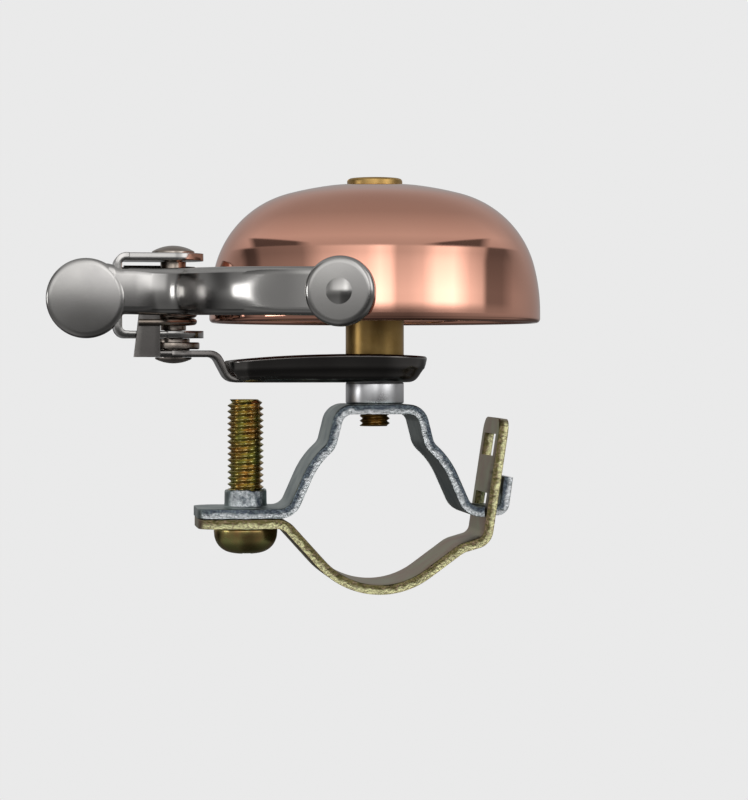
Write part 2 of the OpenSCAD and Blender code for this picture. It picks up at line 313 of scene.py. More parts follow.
def mixColour(tree, factor, first, second):
    node = tree.nodes.new("ShaderNodeMix")
    node.data_type = "RGBA"
    tree.links.new(factor, node.inputs["Factor"])
    for value, socket in ((first, node.inputs["A"]), (second, node.inputs["B"])):
        if isinstance(value, bpy.types.NodeSocket):
            tree.links.new(value, socket)
        else:
            socket.default_value = (*value, 1)
    return node.outputs["Result"]


# plated metal: two tones that cloud into each other, worn edges, and a cut edge where the finish has one
def platedMetal(name, finish):
    material = bpy.data.materials.new(name)
    material.use_nodes = True
    tree = material.node_tree
    shader = tree.nodes["Principled BSDF"]
    shader.inputs["Metallic"].default_value = 1.0
    wear = tree.nodes.new("ShaderNodeGroup")
    wear.node_tree = wornPlate
    wear.inputs["Scale"].default_value = finish.get("cloudScale", 150)
    wear.inputs["Edge"].default_value = finish.get("edge", 0.5)
    cloud = ranged(tree, wear.outputs["Cloud"], 0.35, 0.65)
    colour = mixColour(tree, cloud, finish["tone"], finish["tone2"])
    colour = mixColour(tree, wear.outputs["Wear"], colour, finish.get("bare", (0.6, 0.58, 0.55)))
    rough = ranged(tree, wear.outputs["Cloud"], 0.3, 0.7, finish["rough"] * 0.85, finish["rough"] * 1.2)
    bump = tree.nodes.new("ShaderNodeBump")
    bump.inputs["Strength"].default_value = finish.get("bump", 0.05)
    bump.inputs["Distance"].default_value = 0.00005
    if "cutBright" in finish:
        cut = tree.nodes.new("ShaderNodeGroup")
        cut.node_tree = shearedEdge
        cutColour = mixColour(tree, cut.outputs["Torn"], finish["cutBright"], finish["cutDark"])
        speckled = ranged(tree, cut.outputs["Streak"], 0.48, 0.62, 0.0, 0.6)
        cutColour = mixColour(tree, speckled, cutColour, finish["tone2"])
        colour = mixColour(tree, cut.outputs["Cut"], colour, cutColour)
        height = mathStep(tree, "MULTIPLY", cut.outputs["Cut"], cut.outputs["Streak"])
        tree.links.new(height, bump.inputs["Height"])
        bump.inputs["Distance"].default_value = 0.0002
    else:
        tree.links.new(wear.outputs["Speck"], bump.inputs["Height"])
    tree.links.new(colour, shader.inputs["Base Color"])
    tree.links.new(rough, shader.inputs["Roughness"])
    tree.links.new(bump.outputs["Normal"], shader.inputs["Normal"])
    return material


# tone and tone2 cloud into each other, rough is the mean roughness, edge how far the bare metal shows at
# worn edges, cloudScale how fine the clouds are, and cutBright and cutDark the halves of a cut edge
finishes = {
    "copper": {"tone": (0.83, 0.43, 0.315), "tone2": (0.81, 0.41, 0.30), "rough": 0.055, "edge": 0.0,
               "bump": 0.01, "cloudScale": 60},
    "brass": {"tone": (0.42, 0.26, 0.085), "tone2": (0.55, 0.36, 0.13), "rough": 0.33, "edge": 0.2,
              "cloudScale": 300, "bare": (0.7, 0.5, 0.2)},
    "bracketSteel": {"tone": (0.20, 0.19, 0.18), "tone2": (0.15, 0.14, 0.135), "rough": 0.19, "edge": 0.4},
    "turnedSteel": {"tone": (0.72, 0.72, 0.73), "tone2": (0.58, 0.58, 0.59), "rough": 0.3},
    "zincClear": {"tone": (0.36, 0.42, 0.40), "tone2": (0.26, 0.32, 0.33), "rough": 0.36, "cloudScale": 260,
                  "cutBright": (0.95, 0.98, 1.0), "cutDark": (0.10, 0.12, 0.15), "bump": 1.0},
    "zincYellow": {"tone": (0.30, 0.29, 0.15), "tone2": (0.38, 0.26, 0.19), "rough": 0.36, "cloudScale": 220,
                   "cutBright": (1.0, 0.98, 0.55), "cutDark": (0.17, 0.15, 0.06), "bump": 1.0},
    "boltZinc": {"tone": (0.52, 0.33, 0.13), "tone2": (0.42, 0.41, 0.15), "rough": 0.25, "cloudScale": 420,
                 "bare": (0.75, 0.62, 0.3)},
    "nickel": {"tone": (0.42, 0.41, 0.395), "tone2": (0.38, 0.37, 0.36), "rough": 0.17, "edge": 0.15,
               "bump": 0.02},
    "rivetSteel": {"tone": (0.32, 0.27, 0.23), "tone2": (0.42, 0.37, 0.33), "rough": 0.26, "edge": 0.9},
    "springWire": {"tone": (0.26, 0.21, 0.17), "tone2": (0.34, 0.29, 0.25), "rough": 0.25},
}
metals = {name: platedMetal(name, finish) for name, finish in finishes.items()}
print("materials made")


# Bell dome, sleeve, spacer and screw.

domeSize = {"flatZ": 53.3, "apexZ": 53.87, "topR": 57.19, "topAngle": 14.81, "turnR": 16.7,
            "turnAngle": 75.47, "wall": 1.4, "boreR": 2.6}


# surface of the dome moved inwards by d: a wide crown arc, a tight shoulder arc and a steep side arc
def domeCurve(d, size, rimR):
    r1, r2 = size["topR"], size["turnR"]
    a1, a2 = np.radians(size["topAngle"]), np.radians(size["turnAngle"])
    z1 = size["apexZ"] - r1
    x2, z2 = (r1 - r2) * np.sin(a1), z1 + (r1 - r2) * np.cos(a1)
    r3 = (rimR - x2 - r2 * np.sin(a2)) / (1 - np.sin(a2))
    z3 = z2 + (r2 - r3) * np.cos(a2)
    start = 90 - np.degrees(np.arccos((size["flatZ"] - d - z1) / (r1 - d)))
    return outline(arc(0, z1, r1 - d, start, 90 - size["topAngle"], 14),
                   arc(x2, z2, r2 - d, 89.5 - size["topAngle"], 90 - size["turnAngle"], 60),
                   arc(rimR - r3, z3, r3 - d, 89.5 - size["turnAngle"], 0, 20))


# outer curve, rounded lip and inner curve, turned as one closed profile
def makeDome():
    low, high = nodeBox("bell_dome")
    rimR, lip = high[0], domeSize["wall"] / 2
    outer = domeCurve(0, domeSize, rimR)
    inner = domeCurve(domeSize["wall"], domeSize, rimR)[::-1]
    flat = domeSize["flatZ"]
    profile = outline([[domeSize["boreR"], flat], [5, flat], [outer[0, 0] - 0.3, flat]], outer,
                      [[rimR, low[2] + lip + 0.6]],
                      arc(rimR - lip, low[2] + lip, lip, 0, -180, 14),
                      [[rimR - 2 * lip, low[2] + lip + 0.6]], inner,
                      [[domeSize["boreR"], flat - domeSize["wall"]]])
    closed = np.vstack([profile, profile[:1]])
    return pieceFromGrids("bellDome", [(turned(closed, 0, 0, 240), True, False)], metals["copper"],
                          "bell_dome", "bell_body", 40)


# a tube with rounded corners, between two heights
def tubeProfile(inside, outside, zLow, zHigh, corner):
    return outline([[inside, zLow]], arc(outside - corner, zLow + corner, corner, -90, 0, 6),
                   arc(outside - corner, zHigh - corner, corner, 0, 90, 6), [[inside, zHigh]],
                   [[inside, zLow]])


# a tube as wide and high as the node's box
def makeTube(name, node, metal, size, around=128):
    low, high = nodeBox(node)
    x, y = (low[0] + high[0]) / 2, (low[1] + high[1]) / 2
    profile = tubeProfile(size["boreR"], (high[0] - low[0]) / 2, low[2], high[2], size["corner"])
    return pieceFromGrids(name, [(turned(profile, x, y, around), True, False)], metals[metal], node,
                          "bell_body")


sleeveSize = {"boreR": 2.55, "corner": 0.25}
spacerSize = {"boreR": 2.55, "corner": 0.3}
screwSize = {"headR": 4.6, "corner": 0.55, "slotHalf": 0.6, "slotDepth": 0.7, "slotFloor": 0.2,
             "shankR": 2.4, "shankEnd": 15.4, "threadR": 2.5, "pitch": 0.8, "threadDepth": 0.42,
             "threadTop": 16.2, "tipR": 2.1}


def makeCentreScrew():
    s = screwSize
    low, high = nodeBox("centre_screw")
    top, seat = high[2], domeSize["flatZ"]
    r, c = s["headR"], s["corner"]
    # the head as a polar grid, its slot cut where |y| is under half the slot's width
    bend = np.linspace(10, 90, 8)
    rings = np.concatenate([np.linspace(0.02, r - c, 60), r - c + c * sine(bend)])
    drop = np.concatenate([np.zeros(60), c * (1 - cosine(bend))])
    a = np.linspace(0, 2 * np.pi, 240, endpoint=False)
    x, y = rings[:, None] * np.cos(a), rings[:, None] * np.sin(a)
    inSlot = np.clip((s["slotHalf"] - np.abs(y)) / 0.1 + 0.5, 0, 1)
    deepest = np.maximum(top - drop[:, None] - seat - s["slotFloor"], 0)
    z = np.maximum(top - drop[:, None], seat) - np.minimum(inSlot * s["slotDepth"], deepest)
    head = np.stack([x, y, z], -1)
    skirt = turned(outline([[r, top - c], [r, seat], [s["shankR"], seat]]), 0, 0, 240)
    shank = turned(outline([[s["shankR"], seat], [s["shankR"], s["shankEnd"]]]), 0, 0, 64)
    thread = threadGrid(0, 0, s["threadR"], s["pitch"], s["threadDepth"], low[2], s["threadTop"], 0.5)
    tip = turned(outline([[0.01, low[2]], [s["tipR"], low[2]]]), 0, 0, 72)
    parts = [(grid, True, False) for grid in (head, skirt, shank, thread, tip)]
    return pieceFromGrids("centreScrew", parts, metals["brass"], "centre_screw", "bell_body")


makeDome()
makeTube("postSleeve", "post_sleeve", "brass", sleeveSize)
makeTube("steelSpacer", "steel_spacer", "turnedSteel", spacerSize)
makeCentreScrew()
print("bell made")


# Clamp bolt.

boltSize = {"crest": 3.0, "pitch": 1.0, "depth": 0.55, "seatZ": -3.15, "headR": 5.25, "rimHeight": 0.7,
            "rimR": 0.3, "seatR": 2.6, "crossHalf": 0.6, "crossReach": 2.4, "crossDepth": 1.9}


def makeClampBolt():
    s = boltSize
    low, high = nodeBox("clamp_bolt")
    x = middleX("clamp_bolt")
    top, bottom, tip = s["seatZ"], low[2], high[2]
    rimLow = top - s["rimHeight"]
    shank = threadGrid(x, 0, s["crest"], s["pitch"], s["depth"], top, tip, 1.1)
    end = turned(outline([[0.01, tip - 0.35], [1.2, tip - 0.3], [1.9, tip - 0.05], [2.1, tip]]), x, 0, 72)
    # pan head seen from below: a crown, a rounded shoulder and a cross recess with sloping walls
    rings = np.linspace(0.02, s["headR"], 70)
    a = np.linspace(0, 2 * np.pi, 240, endpoint=False)
    u = rings / s["headR"]
    crown = bottom + (rimLow - bottom) * (1 - np.sqrt(np.clip(1 - u ** 3.2, 0, 1)))
    px, py = rings[:, None] * np.cos(a), rings[:, None] * np.sin(a)
    arm = np.minimum(np.abs(px), np.abs(py))
    along = np.maximum(np.abs(px), np.abs(py))
    inside = np.clip((s["crossHalf"] - arm) / 0.25 + 0.5, 0, 1)
    inside = inside * np.clip((s["crossReach"] - along) / 0.9, 0, 1)
    z = crown[:, None] + inside * s["crossDepth"]
    head = np.stack([x + px, py, z], -1)
    rimLine = outline([[s["headR"], rimLow]],
                      arc(s["headR"] - s["rimR"], top - s["rimR"], s["rimR"], 0, 90, 5), [[s["seatR"], top]])
    rim = turned(rimLine, x, 0, 240)
    parts = [(grid, True, False) for grid in (shank, end, head, rim)]
    return pieceFromGrids("clampBolt", parts, metals["boltZinc"], "clamp_bolt", "bolt_body")


makeClampBolt()
print("clamp bolt made")


# The two straps of the clamp.

strapSize = {"width": 14.0, "t": 1.6, "barR": 12.42, "plateTop": 17.2, "shoulderR": 2.6, "steep": 76,
             "neckR": 3.0, "archTop": 48, "archLow": 24, "footR": 3.0, "flangeZ": -0.55, "flangeEnd": 29.9,
             "endR": 3.0, "tongueHalf": 4.0, "tongueFrom": 16.7, "hookFrom": 20.2, "hookR": 1.3,
             "hookAngle": 82, "hookRun": 4.5, "collarFootR": 3.9, "collarEdge": (3.15, 2.75, 0.33),
             "collarWall": [(3.55, 0.45), (3.5, 0.9), (3.48, 2.4)], "collarBore": [(3.03, 3.02), (3.03, -1)]}


# half widths along a path whose left end, at x = end, is rounded with radius r
def roundedHalf(x, end, half, r):
    into = np.clip(r - (x - end), 0, r)
    return half - r + np.sqrt(np.clip(r * r - into * into, 0, None))


# the rounded end of a flange takes short steps
def withRoundEnd(path, end, z):
    r = strapSize["endR"]
    steps = end - r + r * sine(np.linspace(6, 90, 14))
    return np.vstack([path, np.stack([steps, np.full(14, z), np.zeros(14)], -1)])


# each side from the middle of the plate: shoulder, neck, arch on the bar, leg and flange, with the
# straight runs worked out so that the bends meet; the tongue and its hook go on from the right side
def makeUpperStrap():
    s = strapSize
    mid = s["barR"] + s["t"] / 2
    top = s["plateTop"] - s["t"] / 2
    neckX = mid * cosine(s["archTop"]) - s["neckR"] * (sine(s["steep"]) - sine(90 - s["archTop"]))
    neckZ = mid * sine(s["archTop"]) + s["neckR"] * (cosine(90 - s["archTop"]) - cosine(s["steep"]))
    neckRun = (top - s["shoulderR"] * (1 - cosine(s["steep"])) - neckZ) / sine(s["steep"])
    halfTop = neckX - neckRun * cosine(s["steep"]) - s["shoulderR"] * sine(s["steep"])
    leg = 90 - s["archLow"]
    legRun = (mid * sine(s["archLow"]) - s["flangeZ"] - s["footR"] * (1 - cosine(leg))) / sine(leg)
    footX = mid * cosine(s["archLow"]) + legRun * cosine(leg) + s["footR"] * sine(leg)
    half = [(halfTop,), (s["shoulderR"], -s["steep"]), (neckRun,),
            (s["neckR"], s["steep"] + s["archTop"] - 90), (mid, s["archLow"] - s["archTop"]), (legRun,),
            (s["footR"], leg)]
    left = bentPath((0, top, 0), half + [(s["flangeEnd"] - footX - s["endR"],)])
    right = bentPath((0, top, 0), half + [(s["tongueFrom"] + 0.6 - footX,)])
    left = withRoundEnd(left, s["flangeEnd"], s["flangeZ"])
    path = joinedPath(left, right)
    halfWidth = roundedHalf(path[:, 0], -s["flangeEnd"], s["width"] / 2, s["endR"])
    body = sheetGrid(path, -halfWidth, halfWidth, s["t"], waver=0.03, seed=3)
    tongue = bentPath((s["tongueFrom"] - 0.2, s["flangeZ"], 0),
                      [(s["hookFrom"] - s["tongueFrom"],), (s["hookR"], s["hookAngle"]), (s["hookRun"],)])
    hook = sheetGrid(tongue, -s["tongueHalf"], s["tongueHalf"], s["t"], waver=0.02, seed=4)
    collarLine = outline([[s["collarFootR"], s["flangeZ"] + 0.7]], s["collarWall"],
                         arc(*s["collarEdge"], 0, 90, 6), s["collarBore"])
    collar = turned(collarLine, middleX("clamp_bolt"), 0, 96)
    # the collar's top edge is torn, not flat
    ring = np.linspace(0, 2 * np.pi, 96, endpoint=False)
    collar[4:11, :, 2] += 0.1 * np.sin(3 * ring + 1) + 0.06 * np.sin(11 * ring)
    return pieceFromGrids("upperStrap", [(body, True, True), (hook, True, True), (collar, True, False)],
                          metals["zincClear"], "upper_strap", "clamp_body")


# rightSteps: the right side after the arc under the bar, as lengths and (radius, angle) bends
lowerSize = {"rightSteps": [(6.35,), (4, -20), (2.2,), (2.4, 65.4), (18.8,)], "leftArc": 48, "rightArc": 36,
             "flangeZ": -2.25, "flangeBendR": 3, "flangeEnd": 29.75, "uprightX": 17, "slotHalf": 4.5,
             "tongueSlot": (-1.8, 2.4), "spareSlot": (8.2, 12.3), "topCorner": 2.5}


# each side from the lowest point: an arc under the bar, then the left leg to its flange, or the right
# leg and the upright with two slots
def makeLowerStrap():
    s, low = strapSize, lowerSize
    mid = s["barR"] + s["t"] / 2
    turn, footR = low["leftArc"], low["flangeBendR"]
    leftRun = (low["flangeZ"] + mid * cosine(turn) - footR * (1 - cosine(turn))) / sine(turn)
    leftX = (mid + footR) * sine(turn) + leftRun * cosine(turn)
    flange = low["flangeEnd"] - leftX - s["endR"]
    left = bentPath((0, -mid, 0), [(mid, turn), (leftRun,), (footR, -turn), (flange,)])
    left = withRoundEnd(left, low["flangeEnd"], low["flangeZ"])
    right = bentPath((0, -mid, 0), [(mid, low["rightArc"])] + low["rightSteps"], longest=0.25)
    path = joinedPath(left, right)
    halfWidth = roundedHalf(path[:, 0], -low["flangeEnd"], s["width"] / 2, s["endR"])
    fromTop = path[-1, 1] - path[:, 1]
    corner = low["topCorner"]
    upright = path[:, 0] > low["uprightX"]
    lift = np.clip(corner - fromTop, 0, corner) * upright
    halfWidth = halfWidth - corner + np.sqrt(np.clip(corner ** 2 - lift ** 2, 0, None))
    grids = []

    def strip(part, lowY, highY, waver, seed):
        grids.append((sheetGrid(path[part], lowY, highY, s["t"], waver=waver, seed=seed), True, True))

    # whole width outside the slots, two side strips beside each slot
    start = 0
    for bottom, top in (low["tongueSlot"], low["spareSlot"]):
        rows = np.where(upright & (path[:, 1] > bottom) & (path[:, 1] < top))[0]
        first, last = rows[0], rows[-1] + 1
        part = slice(start, first + 1)
        strip(part, -halfWidth[part], halfWidth[part], 0.03, 5 + first)
        part = slice(first, last)
        edge = np.full(last - first, low["slotHalf"])
        strip(part, -halfWidth[part], -edge, 0.02, 8)
        strip(part, edge, halfWidth[part], 0.02, 10)
        start = last - 1
    part = slice(start, None)
    strip(part, -halfWidth[part], halfWidth[part], 0.03, 8)
    return pieceFromGrids("lowerStrap", grids, metals["zincYellow"], "lower_strap", "lower_strap_body")


makeUpperStrap()
makeLowerStrap()
print("straps made")


# Striker bracket.

traySize = {"leftX": -21.2, "cornerY": 5.2, "floorLow": 20.8, "t": 1.1, "archR": 200, "archX": -4,
            "archTop": 25.2, "gapHalf": 4.4, "sAngle": 62, "sR": 1.8, "sRun": 2.55, "tongueHalf": 4.0,
            "eyeR": 4.4, "tabX": (-40.2, -35.9), "tabY": (-4.8, -3.7), "tabTop": 32.6,
            "webX": (-39.8, -37, -34), "webY": (-4.6, -1.5),
            "tongueStart": -20, "stepRun": 3.4}


# plan line of the tray's wall at distance q from the centre line: end, corner, side, half circle, and back
def trayLine(q):
    s = traySize
    corner = q - s["cornerY"]
    end = s["leftX"] - corner
    start = np.stack([np.full(4, end), np.linspace(-s["gapHalf"], -s["cornerY"] + 0.1, 4)], -1)
    turn = arc(s["leftX"], -s["cornerY"], corner, 180, 270, 12)
    side = np.stack([np.linspace(s["leftX"] + 1, -0.5, 24), np.full(24, -q)], -1)
    half = arc(0, 0, q, -90, 0, 36)
    lower = outline(start, turn, side, half)
    return np.vstack([lower, lower[-2::-1] * np.array([1, -1])])


# a tray with a rolled rim, its wall line carried round trayLine, a tongue that steps up to the eye
# round the pin, and the stop tab on its web
def makeBracket():
    s = traySize
    z0 = s["floorLow"]
    wall = outline([[5.25, z0]], arc(5.6, z0 + 2, 2, -88, -20, 12), [[8.0, z0 + 2.15], [8.28, z0 + 2.5]],
                   [[8.5, z0 + 3.2], [8.68, z0 + 4.1]], arc(8.3, z0 + 4.3, 0.4, 0, 170, 8),
                   [[7.55, z0 + 3.6], [7.25, z0 + 2.8]], arc(5.6, z0 + 2, 0.9, -14, -90, 8),
                   [[5.25, z0 + 1.1]], [[5.25, z0]])
    lines = np.array([trayLine(q) for q in wall[:, 0]])
    arch = s["archTop"] - s["archR"] + np.sqrt(s["archR"] ** 2 - (lines[:, :, 0] - s["archX"]) ** 2)
    height = (wall[:, 1] - z0)[:, None]
    # the rim follows a shallow arch: heights scale with it
    z = z0 + height * (arch - z0) / (s["archTop"] - z0)
    z = np.where(height <= s["t"] + 0.01, z0 + height, z)
    shell = np.concatenate([lines, z[:, :, None]], -1).transpose(1, 0, 2)
    floorLine = trayLine(5.3)
    levels = np.array([z0, z0, z0 + s["t"], z0 + s["t"]])
    shares = np.array([0.0, 1.0, 1.0, 0.0])
    floor = np.stack([np.concatenate([floorLine * k + (1 - k) * np.array([-10.0, 0]),
                                      np.full((len(floorLine), 1), level)], -1)
                      for k, level in zip(shares, levels)])
    mid = z0 + s["t"] / 2
    eyeMid = mid + 2 * s["sR"] * (1 - cosine(s["sAngle"])) + s["sRun"] * sine(s["sAngle"])
    pinX = middleX("pivot_pin")
    eyeX = s["tongueStart"] - s["stepRun"] - 2 * s["sR"] * sine(s["sAngle"]) - s["sRun"] * cosine(s["sAngle"])
    ends = s["eyeR"] * sine(np.linspace(4, 90, 16))
    steps = [(s["stepRun"],), (s["sR"], -s["sAngle"]), (s["sRun"],), (s["sR"], s["sAngle"]), (eyeX - pinX,)]
    path = bentPath((s["tongueStart"], mid, 180), steps)
    tail = np.stack([pinX - ends, np.full(16, eyeMid), np.full(16, 180.0)], -1)
    path = np.vstack([path, tail])
    eyeHalf = np.sqrt(np.clip(s["eyeR"] ** 2 - (path[:, 0] - pinX) ** 2, 0, None))
    halfWidth = np.where(path[:, 0] < pinX, eyeHalf, np.maximum(s["tongueHalf"], eyeHalf))
    tongue = sheetGrid(path, -halfWidth, halfWidth, s["t"], rollOver=0.18, burr=0.1)
    # the stop tab stands up from the front edge of the eye
    xL, xR = s["tabX"]
    bottom = eyeMid - s["t"] / 2
    heights = np.concatenate([np.linspace(bottom, s["tabTop"] - 0.1, 12), [s["tabTop"]]])
    tabT = s["tabY"][1] - s["tabY"][0]
    ring = sheetSection(tabT, 0.12, 0.12)
    lean = (heights - bottom) / (s["tabTop"] - bottom)
    low, high = xL + 0.9 * lean, np.full(len(heights), xR)
    x = (low + high)[:, None] / 2 + (high - low)[:, None] / 2 * ring[:, 0] + ring[:, 1]
    y = np.broadcast_to((s["tabY"][0] + s["tabY"][1]) / 2 - ring[:, 2], x.shape)
    tab = np.stack([x, y, np.broadcast_to(heights[:, None], x.shape)], -1)
    webPath = np.array([[x, eyeMid, 0] for x in s["webX"]])
    web = sheetGrid(webPath, *s["webY"], s["t"] - 0.02)
    return pieceFromGrids("strikerBracket", [(shell, True, True), (floor, False, False), (tongue, True, True),
                                             (tab, True, True), (web, True, True)],
                          metals["bracketSteel"], "striker_bracket", "bell_body")


makeBracket()
print("bracket made")


# Pivot: pin, bush, washer and spring.

pinSize = {"shankR": 1.5, "topSeat": 42.0, "topR": 3.5, "topRise": 1.3, "lowSeat": 24.93, "lowR": 3.0,
           "lowRise": 1.0}


# low dome of base radius r and rise h, as (radius, height) points from the rim to the middle
def buttonCurve(r, h, base, sign, count=14):
    big = (r * r + h * h) / (2 * h)
    sweep = np.degrees(np.arcsin(r / big))
    a = np.radians(np.linspace(90 - sweep, 89.8, count))
    return np.stack([big * np.cos(a), base + sign * (h - big + big * np.sin(a))], -1)


# a shank with a button at each end, as one profile
def makePin():
    s = pinSize
    lowEnd = buttonCurve(s["lowR"] - 0.05, s["lowRise"] - 0.3, s["lowSeat"] - 0.3, -1)[::-1]
    topEnd = buttonCurve(s["topR"] - 0.05, s["topRise"] - 0.35, s["topSeat"] + 0.35, 1)
    profile = outline(lowEnd, [[s["lowR"], s["lowSeat"] - 0.2], [s["lowR"], s["lowSeat"]],
                               [s["shankR"], s["lowSeat"]], [s["shankR"], s["topSeat"]],
                               [s["topR"], s["topSeat"]], [s["topR"], s["topSeat"] + 0.25]], topEnd)
    pin = turned(profile, middleX("pivot_pin"), 0, 96)
    return pieceFromGrids("pivotPin", [(pin, True, False)], metals["rivetSteel"], "pivot_pin", "bell_body")


bushSize = {"boreR": 1.5, "corner": 0.1}
washerSize = {"boreR": 1.5, "hubR": 2.7, "plateLow": 26.25, "plateHigh": 27.4}


# a plate and its hub, two tubes about the pin
def makeWasher():
    s = washerSize
    low, high = nodeBox("pivot_washer")
    plate = tubeProfile(s["boreR"], (high[0] - low[0]) / 2, s["plateLow"], s["plateHigh"], 0.25)
    hub = tubeProfile(s["boreR"], s["hubR"], low[2], high[2], 0.15)
    parts = [(turned(profile, middleX("pivot_pin"), 0), True, False) for profile in (plate, hub)]
    return pieceFromGrids("pivotWasher", parts, metals["rivetSteel"], "pivot_washer", "bell_body")


springSize = {"wireR": 0.55, "coilR": 3.35, "start": -60, "sweep": 2670, "low": 30.6, "high": 39.6,
              "reach": 8.0, "lowLegX": (-6, -2.4), "lowLegY": (-5.5, -5.35), "lowBend": (-1.4, -4.9)}


# an even helix, angle and height growing together, with a straight leg at each end
def makeSpring():
    s = springSize
    a = np.radians(np.linspace(s["start"], s["start"] + s["sweep"], 420))
    z = np.linspace(s["low"], s["high"], 420)
    coil = np.stack([s["coilR"] * np.cos(a), s["coilR"] * np.sin(a), z], -1)
    lowX, lowY = np.linspace(*s["lowLegX"], 8), np.linspace(*s["lowLegY"], 8)
    lowLeg = np.stack([lowX, lowY, np.full(8, s["low"])], -1)
    bend = np.array([[*s["lowBend"], s["low"]]])
    highX = np.linspace(-0.5, -s["reach"], 14)
    highLeg = np.stack([highX, np.full(14, s["coilR"]), np.full(14, s["high"])], -1)
    points = np.vstack([lowLeg, bend, coil, highLeg]) + np.array([middleX("pivot_pin"), 0, 0])
    return pieceFromGrids("returnSpring", [(wireGrid(points, s["wireR"]), True, True)], metals["springWire"],
                          "return_spring", "bell_body")


makePin()
makeTube("pivotBush", "pivot_bush", "rivetSteel", bushSize, 64)
makeWasher()
makeSpring()
print("pivot made")


# Lever and hammer.

leverSize = {"t": 1.0, "frontY": -5.6, "webX": -43.3, "armHalf": 3.8, "armZ": (35.75, 35.05),
             "straight": 5.9, "bendR": 6, "bend": 67, "run": 3.93, "sweepR": 33, "sweep": 47.5,
             "edgeR": 0.95, "flange": 1.15, "crown": 0.55, "neckHalf": 5.6, "neckX": -44.6, "neckZ": 34.55,
             "neckFlange": 0.55, "neckCrown": 0.25, "neckBlend": (-44.8, -41.6),
             "flangeBlend": (-43, -39), "crownBlend": (-40, -35), "crownEnd": (0.84, 0.93),
             "padR": 6.5, "padX": -43.5, "padZ": 34.5, "padTurn": 8, "padReach": 4.45, "padCrown": 0.25,
             "padEdgeR": 0.6, "padFlange": 0.45, "discR": 5.45, "discExtra": 0.4, "discCrown": 0.1,
             "discEdgeR": 0.8, "earR": 5.0, "earTip": -28.6, "earLow": 28.07, "earHigh": 41.95,
             "earT": 1.2, "earFront": -5.9, "earFrontX": -41.0, "corner": 1.3, "tabGapY": -2.6,
             "tabGapEnd": 1.2}
# where the hammer is riveted into the arm, and the way its outer head faces
hammerSeat = {"centre": (-10, -31.45, 35.05), "heading": 252.4}


# closed section of the arm, its height twice half: crowned front, edges turned back, and a hollow behind
def armSection(half, crown, edgeR, flange, t):
    front = np.linspace(-(half - edgeR), half - edgeR, 15)
    bulge = -t / 2 - crown * (1 - (front / half) ** 2)
    a = np.radians(np.linspace(0, 90, 7))
    top = np.stack([-t / 2 + edgeR * (1 - np.cos(a)), half - edgeR + edgeR * np.sin(a)], -1)
    lip = np.array([[flange, half], [flange + 0.1, half - 0.15], [flange, half - 0.75 * t]])
    inner = np.array([[0.75, half - 0.75 * t], [t / 2, half - t], [t / 2, 0.5 * half]])
    upper = np.vstack([top[1:], lip, inner])
    return np.vstack([np.stack([bulge, front], -1), upper, upper[::-1] * np.array([1, -1])])


# the section carried along the plan path, square to it
def armGrid(path, halves, middles, flanges):
    s = leverSize
    rows = []
    # flat at the neck, crowned along the curve, flat again at the disc
    crowns = s["neckCrown"] + (1 - s["neckCrown"]) * smooth(path[:, 0], *s["crownBlend"])
    crowns = s["crown"] * crowns * (1 - smooth(np.linspace(0, 1, len(path)), *s["crownEnd"]))
    for (x, y, h), half, middle, flange, crown in zip(path, halves, middles, flanges, crowns):
        section = armSection(half, crown, s["edgeR"], flange, s["t"])
        nx, ny = -sine(h), cosine(h)
        rows.append(np.stack([x + nx * section[:, 0], y + ny * section[:, 0], middle + section[:, 1]], -1))
    return np.array(rows)


# plate with a turned-back rim, profile (radius, depth) turned about its own axis; positive is outwards
def dishProfile(radius, t, crown, edgeR, flange):
    r = np.linspace(0.01, radius - edgeR, 14)
    a = np.radians(np.linspace(0, 90, 8))[1:]
    front = np.stack([r, t / 2 + crown * (1 - (r / radius) ** 2)], -1)
    rim = np.stack([radius - edgeR + edgeR * np.sin(a), t / 2 - edgeR * (1 - np.cos(a))], -1)
    back = [[radius, -flange], [radius - 0.15, -flange - 0.1], [radius - 0.8, -flange],
            [radius - 1.0, -t / 2 - 0.1], [radius - 1.5, -t / 2], [0.01, -t / 2]]
    return outline(front, rim, back)


